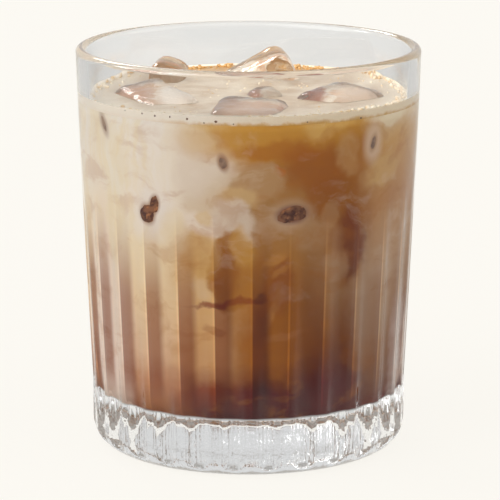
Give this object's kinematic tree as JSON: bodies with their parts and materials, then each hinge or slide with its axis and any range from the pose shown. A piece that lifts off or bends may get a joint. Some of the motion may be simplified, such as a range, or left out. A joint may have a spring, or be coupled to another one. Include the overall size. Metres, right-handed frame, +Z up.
{
  "type": "iced mocha in a tumbler",
  "caption": "Iced coffee and milk drink with a thin froth and floating ice cubes, in a thick-based clear fluted tumbler.",
  "frame": {"origin": "middle of the foot's underside, on the surface that the tumbler stands on", "axes": "+Z up along the tumbler's axis; -Y is the side that the drinker sees; a flute's ridge stands one degree off -Y"},
  "size_m": [0.084, 0.084, 0.0985],
  "materials": {
    "glass": "clear pressed soda-lime glass, polished",
    "dark_coffee": "dark brown coffee, cloudy liquid",
    "milky_coffee": "coffee marbled with milk, cloudy liquid",
    "froth": "fine cream-coloured froth with small bubbles",
    "ice": "wet, slightly cloudy melting ice"
  },
  "bodies": {
    "root": {"tumbler": "glass", "dark_coffee": "dark_coffee", "milky_coffee": "milky_coffee", "froth": "froth", "ice_left": "ice", "ice_back_left": "ice", "ice_back": "ice", "ice_front": "ice", "ice_middle": "ice", "ice_right": "ice"}
  },
  "joints": []
}
